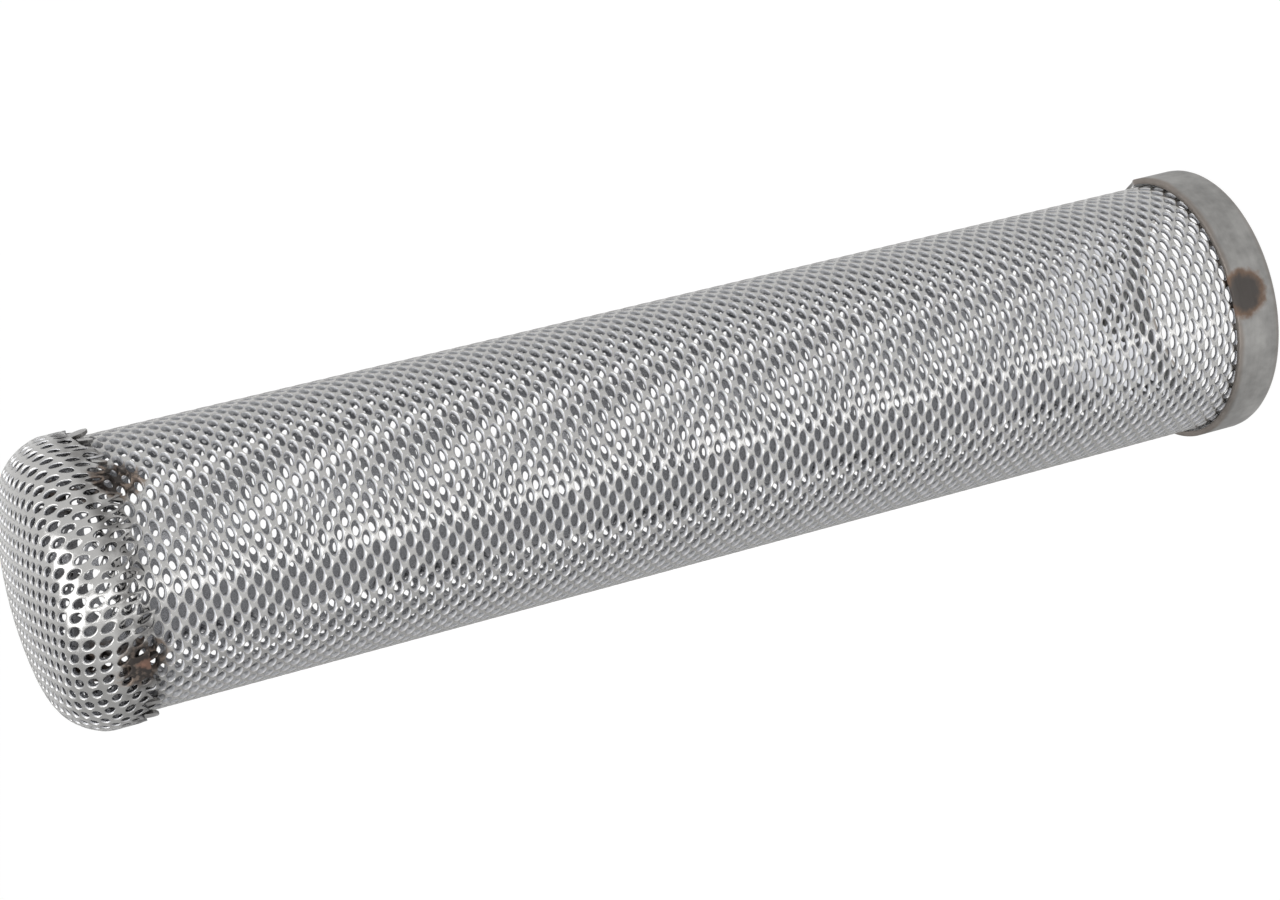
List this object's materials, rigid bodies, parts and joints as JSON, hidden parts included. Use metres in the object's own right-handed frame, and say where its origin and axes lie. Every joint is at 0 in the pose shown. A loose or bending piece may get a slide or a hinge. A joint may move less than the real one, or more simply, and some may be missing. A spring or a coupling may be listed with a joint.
{
  "type": "strainer insert",
  "caption": "Tubular strainer insert of perforated sheet, closed by a domed perforated cap and open at a plain pressed end ring with an inward lip.",
  "frame": {"origin": "centre of the end ring's outer end face, on which the insert stands", "axes": "+Z along the tube's axis, from the open ring towards the crown of the closed cap; +X is the side that is uppermost in the picture"},
  "size_m": [0.0298, 0.0298, 0.1388],
  "materials": {
    "tube_sheet": "satin, as rolled",
    "cap_sheet": "satin, drawn, with brown weld stains",
    "ring_sheet": "dull, with heat tint at the edges and a spot weld mark"
  },
  "bodies": {
    "root": {"perforated_tube": "tube_sheet", "end_cap": "cap_sheet", "end_ring": "ring_sheet"}
  },
  "joints": []
}
